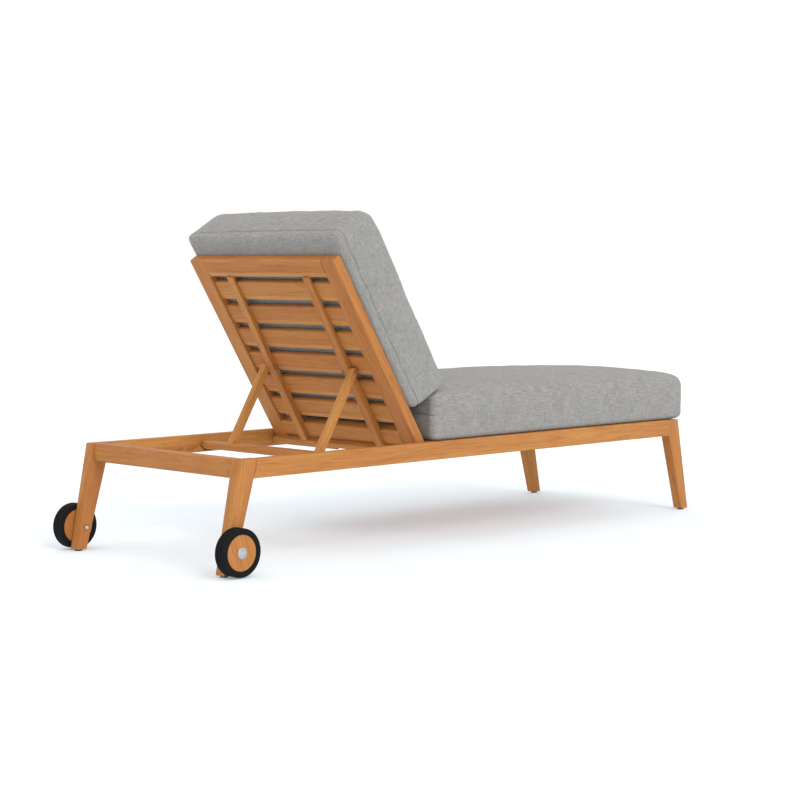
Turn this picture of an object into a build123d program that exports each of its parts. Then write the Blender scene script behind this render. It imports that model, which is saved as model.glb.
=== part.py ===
"""A wooden chaise lounger: a low frame on four leaning legs, a slatted back that reclines
on hinge pins, a prop that travels over notched racks, two wheels at the head end and two
loose cushions.

Millimetres. +Z is up and +Y points to the head end. The right-hand side is the one on the
right of someone who lies on it, at -X. The origin is on the floor, under the middle.
"""
import os
from math import cos, radians, sin, tan

from build123d import *

os.makedirs("parts", exist_ok=True)

# Clearances and the overrun of every cut
overrun = 5.0
glue_gap = 0.05
running_gap = 0.05
soft_gap = 0.3

# Base frame
frame_width = 715.3
frame_length = 1986.0
rail_top = 320.0
rail_height = 54.9
side_rail_thickness = 27.0
end_rail_thickness = 34.0
end_rail_setback = 4.0
rail_edge = 3.0
end_rail_lower_edge = 9.0

# Legs and their glides
leg_thickness = 35.0
leg_width = 60.5
leg_outer_angle = 10.98
leg_inner_angle = 16.33
leg_edge = 2.5
leg_foot_chamfer = 1.5
glide_height = 5.0
glide_radius = 11.0
glide_edge = 1.0
glide_stem_radius = 3.0
glide_stem_length = 12.0

# Tenons of the frame
tenon_length = 17.0
tenon_thickness = 12.0
tenon_shoulder = 10.0

# Seat
seat_slat_count = 12
seat_slat_width = 72.0
seat_slat_thickness = 18.0
seat_slat_edge = 2.5
seat_slat_play = 1.0
cleat_width = 20.0
cleat_height = 22.0
seat_rail_thickness = 30.0
seat_rail_height = 42.0
seat_rail_to_hinge = 22.3
seat_tenon_length = 14.0

# Screws
screw_radius = 2.0
screw_head_radius = 4.0
screw_angle = 82.0
seat_screw_length = 34.0
back_screw_length = 27.0
rack_screw_length = 24.0

# Back, measured from its hinge
back_angle = 58.11
hinge_from_middle = 247.3
hinge_height = 303.5
hinge_pin_radius = 5.0
hinge_pin_in_rail = 17.0
hinge_pin_in_stile = 38.0
back_height = 673.2
back_side_gap = 2.6
stile_width = 60.0
stile_thickness = 32.0
stile_tail = 12.0
stile_tail_corner = 7.0
stile_top_corner = 5.0
stile_edge = 3.0
top_rail_width = 60.0
bottom_rail_width = 55.5
bottom_rail_start = 10.3
back_rail_edge = 8.0
back_slat_count = 6
back_slat_width = 65.0
back_slat_thickness = 18.0
back_slat_recess = 7.0
back_slat_edge = 7.0
back_bevel_height = 16.0
back_bevel_depth = 5.0
front_edge = 2.5
back_tenon_length = 20.0
back_tenon_thickness = 10.0
back_tenon_shoulder = 8.0

# Battens and ledger on the rear of the back
batten_inset = 94.5
batten_thickness = 28.0
batten_top_depth = 2.0
batten_bottom_depth = 16.5
batten_edge = 2.5
ledger_height = 22.5
ledger_depth = 22.0
ledger_drop = 14.0
ledger_end_gap = 3.0
ledger_upper_edge = 9.0
ledger_lower_edge = 5.0
ledger_notch_width = 49.0
ledger_notch_depth = 8.0

# Prop
prop_pivot_along = 285.0
prop_pivot_behind = 5.3
prop_bolt_radius = 2.5
prop_bolt_head_radius = 6.5
prop_bolt_head_height = 3.0
prop_nut_height = 5.0
prop_nut_play = 0.3
strut_angle = 59.3
strut_width = 23.0
strut_thickness = 22.0
strut_play = 0.5
strut_edge = 2.5
strut_housing = 10.0
crossbar_from_hinge = 313.0
crossbar_top = 301.8
crossbar_height = 24.0
crossbar_width = 43.0
crossbar_edge = 9.0
crossbar_end_play = 2.6
tongue_width = 22.0
tongue_thickness = 7.5
tongue_end_play = 2.0
tongue_edge = 3.0

# Racks on the inner faces of the side rails
rack_thickness = 15.0
rack_lift = 3.6
rack_floor = 4.0
rack_start_from_hinge = 290.5
tooth_from_hinge = 345.5
tooth_pitch = 55.5
tooth_heights = (17.6, 14.3, 8.2)
tooth_rise = 21.5
rack_tail = 16.0
tooth_edge = 4.0
rack_screw_from_hinge = (312.8, 379.8, 435.8)
rack_screw_lift = 7.0

# Wheels
hub_height = 70.3
tyre_radius = 67.9
tyre_width = 37.5
tyre_inner_radius = 51.0
tyre_shoulder = 4.0
tyre_inner_edge = 2.0
groove_width = 3.0
groove_depth = 2.0
groove_spacing = 13.0
disc_recess = 1.2
disc_edge = 1.5
wheel_gap = 3.5
axle_radius = 4.0
axle_side_play = 0.3
bush_radius = 8.0
bush_flange_radius = 12.0
cap_radius = 16.0
cap_rim = 1.5
cap_height = 5.0
axle_nut_radius = 6.5
axle_nut_height = 9.0
axle_nut_rim = 5.0
axle_nut_engagement = 5.0
dome_share = 0.78
dome_flat = 1.0

# Cushions
seat_cushion_overhang = 47.0
seat_cushion_back_gap = 2.0
seat_cushion_inset = 7.65
seat_cushion_edges = (147.0, 154.0, 150.0)
seat_cushion_crowns = (165.0, 179.0, 161.0)
back_cushion_side_overhang = 16.95
back_cushion_rear_start = 140.0
back_cushion_front_start = 118.0
back_cushion_rear_end = 742.0
back_cushion_front_end = 747.0
back_cushion_edges = (164.0, 160.0, 154.0)
back_cushion_crowns = (176.0, 178.0, 166.0)
cushion_corner = 32.0
cushion_side_draw = 5.0
cushion_end_draw = 4.0
cushion_upper_edge = 22.0
cushion_lower_edge = 16.0
cushion_meeting_gap = 1.0

# Planes of the frame
half_width = frame_width / 2
half_length = frame_length / 2
rail_bottom = rail_top - rail_height
rail_inner = half_width - side_rail_thickness
leg_inner = half_width - leg_thickness


def leg_outer(z):
    """How far from the middle of the frame a leg's outer edge stands at the height z."""
    return half_length + (rail_top - z) * tan(radians(leg_outer_angle))


def leg_inside(z):
    """How far from the middle of the frame a leg's inner edge stands at the height z."""
    return leg_outer(rail_bottom) - leg_width + (rail_bottom - z) * tan(radians(leg_inner_angle))


# The middle of the frame is set so that the whole piece is centred on the origin
hub_from_middle = (leg_outer(hub_height) + leg_inside(hub_height)) / 2
head_reach = hub_from_middle + tyre_radius
foot_reach = leg_outer(glide_height + leg_foot_chamfer * cos(radians(leg_outer_angle)))
middle_y = (foot_reach - head_reach) / 2
hinge_y = middle_y + hinge_from_middle
hub_y = middle_y + hub_from_middle
lean = radians(back_angle)

# Places along the back, from the hinge up
stile_outer = rail_inner - back_side_gap
stile_inner = stile_outer - stile_width
stile_front = stile_thickness / 2
top_rail_start = back_height - top_rail_width
bottom_rail_end = bottom_rail_start + bottom_rail_width
back_slat_field = top_rail_start - bottom_rail_end
back_slat_gap = (back_slat_field - back_slat_count * back_slat_width) / (back_slat_count + 1)
slat_rear = back_slat_recess - stile_front
ledger_top = ledger_height - ledger_drop
prop_pivot_front = -stile_front - prop_pivot_behind
prop_pivot_y = hinge_y + prop_pivot_along * cos(lean) - prop_pivot_front * sin(lean)
prop_pivot_z = hinge_height + prop_pivot_along * sin(lean) + prop_pivot_front * cos(lean)

# Places across and along the frame
cleat_inner = rail_inner - cleat_width
seat_rail_head = hinge_y - seat_rail_to_hinge
seat_rail_foot = seat_rail_head - seat_rail_thickness
seat_start = middle_y - leg_inside(rail_top)
seat_slat_field = seat_rail_foot - seat_start
seat_slat_gap = (seat_slat_field - seat_slat_count * seat_slat_width) / (seat_slat_count + 1)
batten_middle = stile_inner - batten_inset
strut_middle = batten_middle + (batten_thickness + strut_thickness) / 2 + strut_play
rack_inner = rail_inner - rack_thickness
rack_bottom = rail_bottom + rack_lift
crossbar_y = hinge_y + crossbar_from_hinge
wheel_inner = half_width + wheel_gap
disc_outer = wheel_inner + tyre_width - disc_recess
screw_head_height = (screw_head_radius - screw_radius) / tan(radians(screw_angle / 2))

sides = {"left": 1, "right": -1}
ends = {"head": 1, "foot": -1}


def across(x):
    """The plane facing +X at x. Its own axes are Y and Z."""
    return Plane(origin=(x, 0, 0), x_dir=(0, 1, 0), z_dir=(1, 0, 0))


def back_side(x):
    """The plane facing +X at x. Its own axes run up the back from the hinge and out of its front."""
    return Plane(origin=(x, hinge_y, hinge_height), x_dir=(0, cos(lean), sin(lean)), z_dir=(1, 0, 0))


def back_face(front):
    """The plane facing out of the back's front. Its own axes are X and up the back from the hinge."""
    origin = (0, hinge_y - front * sin(lean), hinge_height + front * cos(lean))
    return Plane(origin=origin, x_dir=(1, 0, 0), z_dir=(0, -sin(lean), cos(lean)))


def rack_face(side):
    """The plane facing out of a rack's inner face. Its own axes run along Y, either way, and up."""
    return Plane(origin=(side * rack_inner, 0, 0), x_dir=(0, -side, 0), z_dir=(-side, 0, 0))


def hub_plane(side):
    """The upright plane through a wheel's axle. Its own axes are outwards and up from the axle."""
    return Plane(origin=(0, hub_y, hub_height), x_dir=(side, 0, 0), z_dir=(0, -side, 0))


def rectangle(low, high):
    """A rectangle between two corners, in the open sketch."""
    Polygon(low, (high[0], low[1]), high, (low[0], high[1]), align=None)


def save(piece, name):
    """Label a finished piece and write it."""
    piece.part.label = name
    export_step(piece.part, f"parts/{name}.step")


def member_places():
    """Name, start, end, rear and front of each cross member of the back, from the bottom up."""
    places = [("back_bottom_rail", bottom_rail_start, bottom_rail_end, -stile_front, stile_front)]
    for index in range(back_slat_count):
        start = bottom_rail_end + back_slat_gap + index * (back_slat_width + back_slat_gap)
        end = start + back_slat_width
        places.append((f"back_slat_{index + 1}", start, end, slat_rear, slat_rear + back_slat_thickness))
    places.append(("back_top_rail", top_rail_start, back_height, -stile_front, stile_front))
    return places


def back_screw_points():
    """Where the screws of the back slats stand, across and up the back."""
    points = []
    for name, start, end, rear, front in member_places():
        if name.startswith("back_slat"):
            points += [(-batten_middle, (start + end) / 2), (batten_middle, (start + end) / 2)]
    return points


def seat_slat_middles():
    """The Y of the middle of each seat slat, from the foot end."""
    first = seat_start + seat_slat_gap + seat_slat_width / 2
    return [first + index * (seat_slat_width + seat_slat_gap) for index in range(seat_slat_count)]


def seat_screw_points():
    """Where the screws of the seat slats stand, in X and Y."""
    screw_x = (rail_inner + cleat_inner) / 2
    return [(side * screw_x, y) for y in seat_slat_middles() for side in sides.values()]


def rack_screw_points(direction=1):
    """Where the screws of a rack stand, in Y, or -Y for a direction of -1, and Z."""
    return [(direction * (hinge_y + y), rack_bottom + rack_screw_lift) for y in rack_screw_from_hinge]


def side_tenon(end, extra):
    """The tenon of a side rail in the leg at one end, in the open sketch of Y and Z."""
    points = []
    for z, reach in (
        (rail_bottom + tenon_shoulder - extra, -overrun),
        (rail_bottom + tenon_shoulder - extra, tenon_length + extra),
        (rail_top - tenon_shoulder + extra, tenon_length + extra),
        (rail_top - tenon_shoulder + extra, -overrun),
    ):
        points.append((middle_y + end * (leg_inside(z) + reach), z))
    Polygon(*points, align=None)


def cross_tenon(rear, front, top, bottom, extra):
    """The tenon of a rail that runs across the frame, in the open sketch of Y and Z."""
    middle = (rear + front) / 2
    half = tenon_thickness / 2 + extra
    low = bottom + tenon_shoulder - extra
    high = top - tenon_shoulder + extra
    rectangle((middle - half, low), (middle + half, high))


def end_rail_faces(end):
    """The two Y of an end rail's faces, lower one first."""
    outer = middle_y + end * (half_length - end_rail_setback)
    inner = outer - end * end_rail_thickness
    return min(inner, outer), max(inner, outer)


def leg(side, end, name):
    """A leaning leg with its mortises, glide hole and, at the head end, its axle hole."""
    low, high = end_rail_faces(end)
    leg_middle = side * (half_width - leg_thickness / 2)
    rail_middle = side * (half_width - side_rail_thickness / 2)
    foot_y = middle_y + end * (leg_outer(glide_height) + leg_inside(glide_height)) / 2
    outline = [(middle_y + end * leg_outer(z), z) for z in (glide_height, rail_top)]
    outline += [(middle_y + end * leg_inside(z), z) for z in (rail_top, glide_height)]
    with BuildPart() as piece:
        with BuildSketch(across(leg_middle)):
            Polygon(*outline, align=None)
        extrude(amount=leg_thickness / 2, both=True)
        fillet(piece.edges().filter_by(lambda edge: edge.length > rail_top / 2), leg_edge)
        chamfer(piece.faces().sort_by(Axis.Z)[0].edges(), leg_foot_chamfer)
        with BuildSketch(across(rail_middle)):
            side_tenon(end, glue_gap)
        extrude(amount=tenon_thickness / 2 + glue_gap, both=True, mode=Mode.SUBTRACT)
        with BuildSketch(across(side * (leg_inner - overrun))):
            cross_tenon(low, high, rail_top, rail_bottom, glue_gap)
        extrude(amount=side * (overrun + tenon_length + glue_gap), mode=Mode.SUBTRACT)
        with BuildSketch(Plane.XY.offset(glide_height - overrun)):
            with Locations((leg_middle, foot_y)):
                Circle(glide_stem_radius + glue_gap)
        extrude(amount=overrun + glide_stem_length + glue_gap, mode=Mode.SUBTRACT)
        if end == ends["head"]:
            with BuildSketch(across(leg_middle)):
                with Locations((hub_y, hub_height)):
                    Circle(axle_radius + glue_gap)
            extrude(amount=leg_thickness, both=True, mode=Mode.SUBTRACT)
    save(piece, name)


def glides():
    """Four round glides, each with a stem in its leg."""
    foot = (leg_outer(glide_height) + leg_inside(glide_height)) / 2
    foot_x = half_width - leg_thickness / 2
    places = [(side * foot_x, middle_y + end * foot) for side in sides.values() for end in ends.values()]
    with BuildPart() as piece:
        with BuildSketch(Plane.XY):
            with Locations(*places):
                Circle(glide_radius)
        extrude(amount=glide_height)
        chamfer(piece.faces().filter_by(Axis.Z).group_by(Axis.Z)[0].edges(), glide_edge)
        with BuildSketch(Plane.XY.offset(glide_height)):
            with Locations(*places):
                Circle(glide_stem_radius)
        extrude(amount=glide_stem_length)
    save(piece, "foot_glides")


def side_rail(side, name):
    """A side rail with its tenons, hinge bore, seat rail mortise and rack screw holes."""
    middle_x = side * (half_width - side_rail_thickness / 2)
    outline = []
    for end, z in ((-1, rail_bottom), (1, rail_bottom), (1, rail_top), (-1, rail_top)):
        outline.append((middle_y + end * leg_inside(z), z))
    with BuildPart() as piece:
        with BuildSketch(across(middle_x)):
            Polygon(*outline, align=None)
        extrude(amount=side_rail_thickness / 2, both=True)
        fillet(piece.edges().filter_by(Axis.Y), rail_edge)
        with BuildSketch(across(middle_x)):
            for end in ends.values():
                side_tenon(end, 0)
        extrude(amount=tenon_thickness / 2, both=True)
        inside = across(side * (rail_inner - overrun))
        with BuildSketch(inside):
            with Locations((hinge_y, hinge_height)):
                Circle(hinge_pin_radius + glue_gap)
        extrude(amount=side * (overrun + hinge_pin_in_rail + glue_gap), mode=Mode.SUBTRACT)
        with BuildSketch(inside):
            cross_tenon(seat_rail_foot, seat_rail_head, rail_top, rail_top - seat_rail_height, glue_gap)
        extrude(amount=side * (overrun + seat_tenon_length + glue_gap), mode=Mode.SUBTRACT)
        with BuildSketch(inside):
            with Locations(*rack_screw_points()):
                Circle(screw_radius + glue_gap)
        screw_depth = rack_screw_length - rack_thickness
        extrude(amount=side * (overrun + screw_depth + glue_gap), mode=Mode.SUBTRACT)
    save(piece, name)


def cross_rail(low, high, bottom, half_span, reach, lower_edge, name):
    """A rail across the frame, with a tenon at each end."""
    with BuildPart() as piece:
        with BuildSketch(across(0)) as outline:
            rectangle((low, bottom), (high, rail_top))
            fillet(outline.vertices().group_by(Axis.Y)[0], lower_edge)
            fillet(outline.vertices().group_by(Axis.Y)[-1], rail_edge)
        extrude(amount=half_span, both=True)
        with BuildSketch(across(0)):
            cross_tenon(low, high, rail_top, bottom, 0)
        extrude(amount=half_span + reach, both=True)
    save(piece, name)


def slat_cleat(side, name):
    """The strip along a side rail that carries the seat slats."""
    top = rail_top - seat_slat_thickness
    points = [point for point in seat_screw_points() if point[0] * side > 0]
    with BuildPart() as piece:
        with BuildSketch(across(side * (rail_inner + cleat_inner) / 2)):
            rectangle((seat_start, top - cleat_height), (seat_rail_foot, top))
        extrude(amount=cleat_width / 2, both=True)
        with BuildSketch(Plane.XY.offset(top + overrun)):
            with Locations(*points):
                Circle(screw_radius + glue_gap)
        depth = seat_screw_length - seat_slat_thickness + glue_gap
        extrude(amount=-(overrun + depth), mode=Mode.SUBTRACT)
    save(piece, name)


def seat_slat(middle, name):
    """A slat of the seat with a countersunk screw hole over each cleat."""
    points = [point for point in seat_screw_points() if point[1] == middle]
    half = seat_slat_width / 2
    with BuildPart() as piece:
        with BuildSketch(across(0)) as outline:
            rectangle((middle - half, rail_top - seat_slat_thickness), (middle + half, rail_top))
            fillet(outline.vertices(), seat_slat_edge)
        extrude(amount=rail_inner - seat_slat_play, both=True)
        with Locations(Plane.XY.offset(rail_top)):
            with Locations(*points):
                CounterSinkHole(screw_radius + glue_gap, screw_head_radius + glue_gap, rail_top, screw_angle)
    save(piece, name)


def screws(places, length, name):
    """Countersunk screws that point into planes, with their heads flush with them."""
    with BuildPart() as piece:
        for plane, points in places:
            with Locations(plane):
                with Locations(*points):
                    Cylinder(screw_radius, length, align=(Align.CENTER, Align.CENTER, Align.MAX))
                    Cone(
                        screw_radius,
                        screw_head_radius,
                        screw_head_height,
                        align=(Align.CENTER, Align.CENTER, Align.MAX),
                    )
    save(piece, name)


def rack(side, name):
    """A strip with three rounded teeth on the inner face of a side rail."""
    start = hinge_y + rack_start_from_hinge
    end = hinge_y + tooth_from_hinge + (len(tooth_heights) - 1) * tooth_pitch + rack_tail
    floor = rack_bottom + rack_floor
    tops = []
    outline = [(start, rack_bottom), (start, floor)]
    for index, height in enumerate(tooth_heights):
        peak = hinge_y + tooth_from_hinge + index * tooth_pitch
        tops.append((peak, rack_bottom + height))
        outline += [(peak - tooth_rise, floor), (peak, rack_bottom + height)]
    outline += [(end, floor), (end, rack_bottom)]
    with BuildPart() as piece:
        with BuildSketch(across(side * (rack_inner + rail_inner) / 2)) as profile:
            Polygon(*outline, align=None)
            for top in tops:
                fillet(profile.vertices().sort_by_distance((top[0], top[1], 0))[0], tooth_edge)
        extrude(amount=rack_thickness / 2, both=True)
        with Locations(rack_face(side)):
            with Locations(*rack_screw_points(-side)):
                CounterSinkHole(
                    screw_radius + glue_gap,
                    screw_head_radius + glue_gap,
                    rack_thickness + overrun,
                    screw_angle,
                )
    save(piece, name)


def hinge_pin(side, name):
    """The pin from a side rail into the foot of a stile."""
    with BuildPart() as piece:
        with BuildSketch(back_side(side * (rail_inner + hinge_pin_in_rail))):
            Circle(hinge_pin_radius)
        extrude(amount=-side * (hinge_pin_in_rail + hinge_pin_in_stile))
    save(piece, name)


def stile(side, name):
    """An upright of the back with its hinge bore and a mortise for each cross member."""
    with BuildPart() as piece:
        with BuildSketch(back_side(side * (stile_outer + stile_inner) / 2)) as outline:
            rectangle((-stile_tail, -stile_front), (back_height, stile_front))
            fillet(outline.vertices().group_by(Axis.X)[0], stile_tail_corner)
            fillet(outline.vertices().group_by(Axis.X)[-1], stile_top_corner)
        extrude(amount=stile_width / 2, both=True)
        fillet(piece.edges().filter_by(lambda edge: edge.length > back_height / 2), stile_edge)
        with BuildSketch(back_side(side * (stile_outer + overrun))):
            Circle(hinge_pin_radius + running_gap)
        bore_depth = hinge_pin_in_stile - back_side_gap + soft_gap
        extrude(amount=-side * (overrun + bore_depth), mode=Mode.SUBTRACT)
        with BuildSketch(back_side(side * (stile_inner - overrun))):
            for place in member_places():
                back_tenon(place, glue_gap)
        extrude(amount=side * (overrun + back_tenon_length + glue_gap), mode=Mode.SUBTRACT)
    save(piece, name)


def back_tenon(place, extra):
    """The tenon of a cross member of the back, in the open sketch of its side."""
    name, start, end, rear, front = place
    middle = (rear + front) / 2
    half = back_tenon_thickness / 2 + extra
    rectangle(
        (start + back_tenon_shoulder - extra, middle - half),
        (end - back_tenon_shoulder + extra, middle + half),
    )


def back_member(place):
    """A slat or rail across the back, rounded and bevelled behind, with a tenon at each end."""
    name, start, end, rear, front = place
    is_slat = name.startswith("back_slat")
    edge = back_slat_edge if is_slat else back_rail_edge
    points = [point for point in back_screw_points() if start < point[1] < end]
    with BuildPart() as piece:
        with BuildSketch(back_side(0)) as outline:
            rectangle((start, rear), (end, front))
            fillet(outline.vertices().group_by(Axis.Y)[-1], front_edge)
            rear_corners = outline.vertices().group_by(Axis.Y)[0].sort_by(Axis.X)
            if name == "back_bottom_rail":
                fillet(rear_corners, edge)
            else:
                fillet(rear_corners[-1], edge)
                bevel = [(start, rear), (start + back_bevel_height, rear), (start, rear + back_bevel_depth)]
                Polygon(*bevel, align=None, mode=Mode.SUBTRACT)
        extrude(amount=stile_inner, both=True)
        with BuildSketch(back_side(0)):
            back_tenon(place, 0)
        extrude(amount=stile_inner + back_tenon_length, both=True)
        if is_slat:
            with Locations(back_face(front)):
                with Locations(*points):
                    CounterSinkHole(
                        screw_radius + glue_gap,
                        screw_head_radius + glue_gap,
                        back_slat_thickness + overrun,
                        screw_angle,
                    )
    save(piece, name)


def batten(side, name):
    """A tapered upright behind the slats that carries the prop's pivot."""
    points = [point for point in back_screw_points() if point[0] * side > 0]
    rear_top = -stile_front - batten_top_depth
    rear_bottom = -stile_front - batten_bottom_depth
    outline = [
        (ledger_top, -stile_front),
        (bottom_rail_end + glue_gap, -stile_front),
        (bottom_rail_end + glue_gap, slat_rear),
        (top_rail_start - glue_gap, slat_rear),
        (top_rail_start - glue_gap, rear_top),
        (ledger_top, rear_bottom),
    ]
    with BuildPart() as piece:
        with BuildSketch(back_side(side * batten_middle)):
            Polygon(*outline, align=None)
        extrude(amount=batten_thickness / 2, both=True)
        long_edges = piece.edges().filter_by(lambda edge: edge.length > back_height / 2)
        rear_edges = long_edges.sort_by(Axis(back_face(0).origin, back_face(0).z_dir))[0:2]
        fillet(rear_edges, batten_edge)
        with BuildSketch(back_side(side * batten_middle)):
            with Locations((prop_pivot_along, prop_pivot_front)):
                Circle(prop_bolt_radius + glue_gap)
        extrude(amount=batten_thickness, both=True, mode=Mode.SUBTRACT)
        with BuildSketch(back_face(slat_rear + overrun)):
            with Locations(*points):
                Circle(screw_radius + glue_gap)
        depth = back_screw_length - back_slat_thickness + glue_gap
        extrude(amount=-(overrun + depth), mode=Mode.SUBTRACT)
    save(piece, name)


def ledger():
    """The bar across the foot of the back, notched in the middle of its underside."""
    rear = -stile_front - ledger_depth
    with BuildPart() as piece:
        with BuildSketch(back_side(0)) as outline:
            rectangle((-ledger_drop, rear), (ledger_top, -stile_front))
            for corner, radius in ((-1, ledger_upper_edge), (0, ledger_lower_edge)):
                fillet(outline.vertices().group_by(Axis.Y)[0].sort_by(Axis.X)[corner], radius)
        extrude(amount=stile_outer - ledger_end_gap, both=True)
        with BuildSketch(back_side(0)):
            low = (-ledger_drop - overrun, rear - overrun)
            rectangle(low, (ledger_notch_depth - ledger_drop, overrun))
        extrude(amount=ledger_notch_width / 2, both=True, mode=Mode.SUBTRACT)
    save(piece, "back_ledger")


def prop_bolts():
    """The two bolts that the prop swings on, each with its head inside a batten."""
    head = batten_middle - batten_thickness / 2
    tip = strut_middle + strut_thickness / 2 + prop_nut_play + prop_nut_height
    with BuildPart() as piece:
        for side in sides.values():
            with BuildSketch(back_side(side * (head - prop_bolt_head_height))):
                with Locations((prop_pivot_along, prop_pivot_front)):
                    Circle(prop_bolt_head_radius)
            extrude(amount=side * prop_bolt_head_height)
            with BuildSketch(back_side(side * head)):
                with Locations((prop_pivot_along, prop_pivot_front)):
                    Circle(prop_bolt_radius)
            extrude(amount=side * (tip - head))
    save(piece, "prop_bolts")


def prop_nuts():
    """The nuts outside the struts, on the ends of the prop's bolts."""
    seat = strut_middle + strut_thickness / 2 + prop_nut_play
    with BuildPart() as piece:
        for side in sides.values():
            with BuildSketch(back_side(side * seat)):
                with Locations((prop_pivot_along, prop_pivot_front)):
                    RegularPolygon(prop_bolt_head_radius, 6)
                    Circle(prop_bolt_radius + glue_gap, mode=Mode.SUBTRACT)
            extrude(amount=side * prop_nut_height)
    save(piece, "prop_nuts")


def strut_outline(extra):
    """A strut from its pivot down into its housing in the crossbar, in the open sketch of Y and Z."""
    foot = crossbar_top - strut_housing - extra
    reach = (prop_pivot_z - foot + strut_width) / sin(radians(strut_angle))
    with Locations((prop_pivot_y, prop_pivot_z)):
        Circle(strut_width / 2)
    with Locations(Location((prop_pivot_y, prop_pivot_z, 0), (0, 0, -strut_angle))):
        Rectangle(reach, strut_width + extra, align=(Align.MIN, Align.CENTER))
    with Locations((prop_pivot_y, foot)):
        Rectangle(reach, reach, align=(Align.MIN, Align.MAX), mode=Mode.SUBTRACT)


def strut(side, name):
    """One arm of the prop, on a running bore, with its foot cut flat."""
    plane = across(side * strut_middle)
    with BuildPart() as piece:
        with BuildSketch(plane):
            strut_outline(0)
        extrude(amount=strut_thickness / 2, both=True)
        fillet(piece.edges().filter_by(lambda edge: edge.length > prop_pivot_along / 2), strut_edge)
        with BuildSketch(plane):
            with Locations((prop_pivot_y, prop_pivot_z)):
                Circle(prop_bolt_radius + running_gap)
        extrude(amount=strut_thickness, both=True, mode=Mode.SUBTRACT)
    save(piece, name)


def crossbar():
    """The bar across the feet of the struts, with a tongue over each rack."""
    half = crossbar_width / 2
    bottom = crossbar_top - crossbar_height
    with BuildPart() as piece:
        with BuildSketch(across(0)) as outline:
            rectangle((crossbar_y - half, bottom), (crossbar_y + half, crossbar_top))
            fillet(outline.vertices(), crossbar_edge)
        extrude(amount=rack_inner - crossbar_end_play, both=True)
        with BuildSketch(across(0)) as outline:
            low = (crossbar_y - tongue_width / 2, crossbar_top - tongue_thickness)
            rectangle(low, (crossbar_y + tongue_width / 2, crossbar_top))
            fillet(outline.vertices(), tongue_edge)
        extrude(amount=rail_inner - tongue_end_play, both=True)
        for side in sides.values():
            with BuildSketch(across(side * strut_middle)):
                strut_outline(glue_gap)
            extrude(amount=strut_thickness / 2 + glue_gap, both=True, mode=Mode.SUBTRACT)
    save(piece, "prop_crossbar")


def tyre(side, name):
    """A solid tyre with two grooves round its tread."""
    outer = wheel_inner + tyre_width
    middle = (wheel_inner + outer) / 2
    with BuildPart() as piece:
        with BuildSketch(hub_plane(side)) as profile:
            rectangle((wheel_inner, tyre_inner_radius), (outer, tyre_radius))
            fillet(profile.vertices().group_by(Axis.Y)[-1], tyre_shoulder)
            fillet(profile.vertices().group_by(Axis.Y)[0], tyre_inner_edge)
            grooves = [(middle + turn * groove_spacing / 2, tyre_radius) for turn in (-1, 1)]
            with Locations(*grooves):
                Rectangle(groove_width, groove_depth + groove_depth, mode=Mode.SUBTRACT)
        revolve(axis=Axis((0, hub_y, hub_height), (1, 0, 0)))
    save(piece, name)


def wheel_disc(side, name):
    """The wooden disc inside a tyre."""
    with BuildPart() as piece:
        with BuildSketch(hub_plane(side)) as profile:
            low = (wheel_inner + disc_recess, bush_radius + glue_gap)
            rectangle(low, (disc_outer, tyre_inner_radius - glue_gap))
            chamfer(profile.vertices().group_by(Axis.Y)[-1], disc_edge)
        revolve(axis=Axis((0, hub_y, hub_height), (1, 0, 0)))
    save(piece, name)


def wheel_bush(side, name):
    """The flanged bush that a wheel turns on, and that keeps it off the leg."""
    leg_end = half_width + axle_side_play
    with BuildPart() as piece:
        with BuildSketch(hub_plane(side)):
            rectangle((leg_end, axle_radius + running_gap), (disc_outer, bush_radius))
            rectangle((leg_end, axle_radius + running_gap), (wheel_inner + disc_recess, bush_flange_radius))
        revolve(axis=Axis((0, hub_y, hub_height), (1, 0, 0)))
    save(piece, name)


def axle_bolts():
    """The two axle bolts, each from its nut through leg and wheel to a low domed cap."""
    seat = disc_outer + axle_side_play
    with BuildPart() as piece:
        for side in sides.values():
            with BuildSketch(hub_plane(side)):
                with BuildLine():
                    Polyline(
                        (leg_inner - axle_nut_engagement, 0),
                        (leg_inner - axle_nut_engagement, axle_radius),
                        (seat, axle_radius),
                        (seat, cap_radius),
                        (seat + cap_rim, cap_radius),
                    )
                    ThreePointArc(
                        (seat + cap_rim, cap_radius),
                        (seat + cap_rim + dome_share * (cap_height - cap_rim), cap_radius / 2),
                        (seat + cap_height, dome_flat),
                    )
                    Polyline(
                        (seat + cap_height, dome_flat),
                        (seat + cap_height, 0),
                        (leg_inner - axle_nut_engagement, 0),
                    )
                make_face()
            revolve(axis=Axis((0, hub_y, hub_height), (1, 0, 0)))
    save(piece, "axle_bolts")


def axle_nuts():
    """The domed nuts on the inner faces of the head legs."""
    dome = axle_nut_height - axle_nut_rim
    with BuildPart() as piece:
        for side in sides.values():
            with BuildSketch(hub_plane(side)):
                with BuildLine():
                    Polyline(
                        (leg_inner, axle_radius + glue_gap),
                        (leg_inner, axle_nut_radius),
                        (leg_inner - axle_nut_rim, axle_nut_radius),
                    )
                    ThreePointArc(
                        (leg_inner - axle_nut_rim, axle_nut_radius),
                        (leg_inner - axle_nut_rim - dome_share * dome, axle_nut_radius / 2),
                        (leg_inner - axle_nut_height, dome_flat),
                    )
                    Polyline(
                        (leg_inner - axle_nut_height, dome_flat),
                        (leg_inner - axle_nut_height, 0),
                        (leg_inner - axle_nut_engagement - glue_gap, 0),
                        (leg_inner - axle_nut_engagement - glue_gap, axle_radius + glue_gap),
                        (leg_inner, axle_radius + glue_gap),
                    )
                make_face()
            revolve(axis=Axis((0, hub_y, hub_height), (1, 0, 0)))
    save(piece, "axle_nuts")


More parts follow.
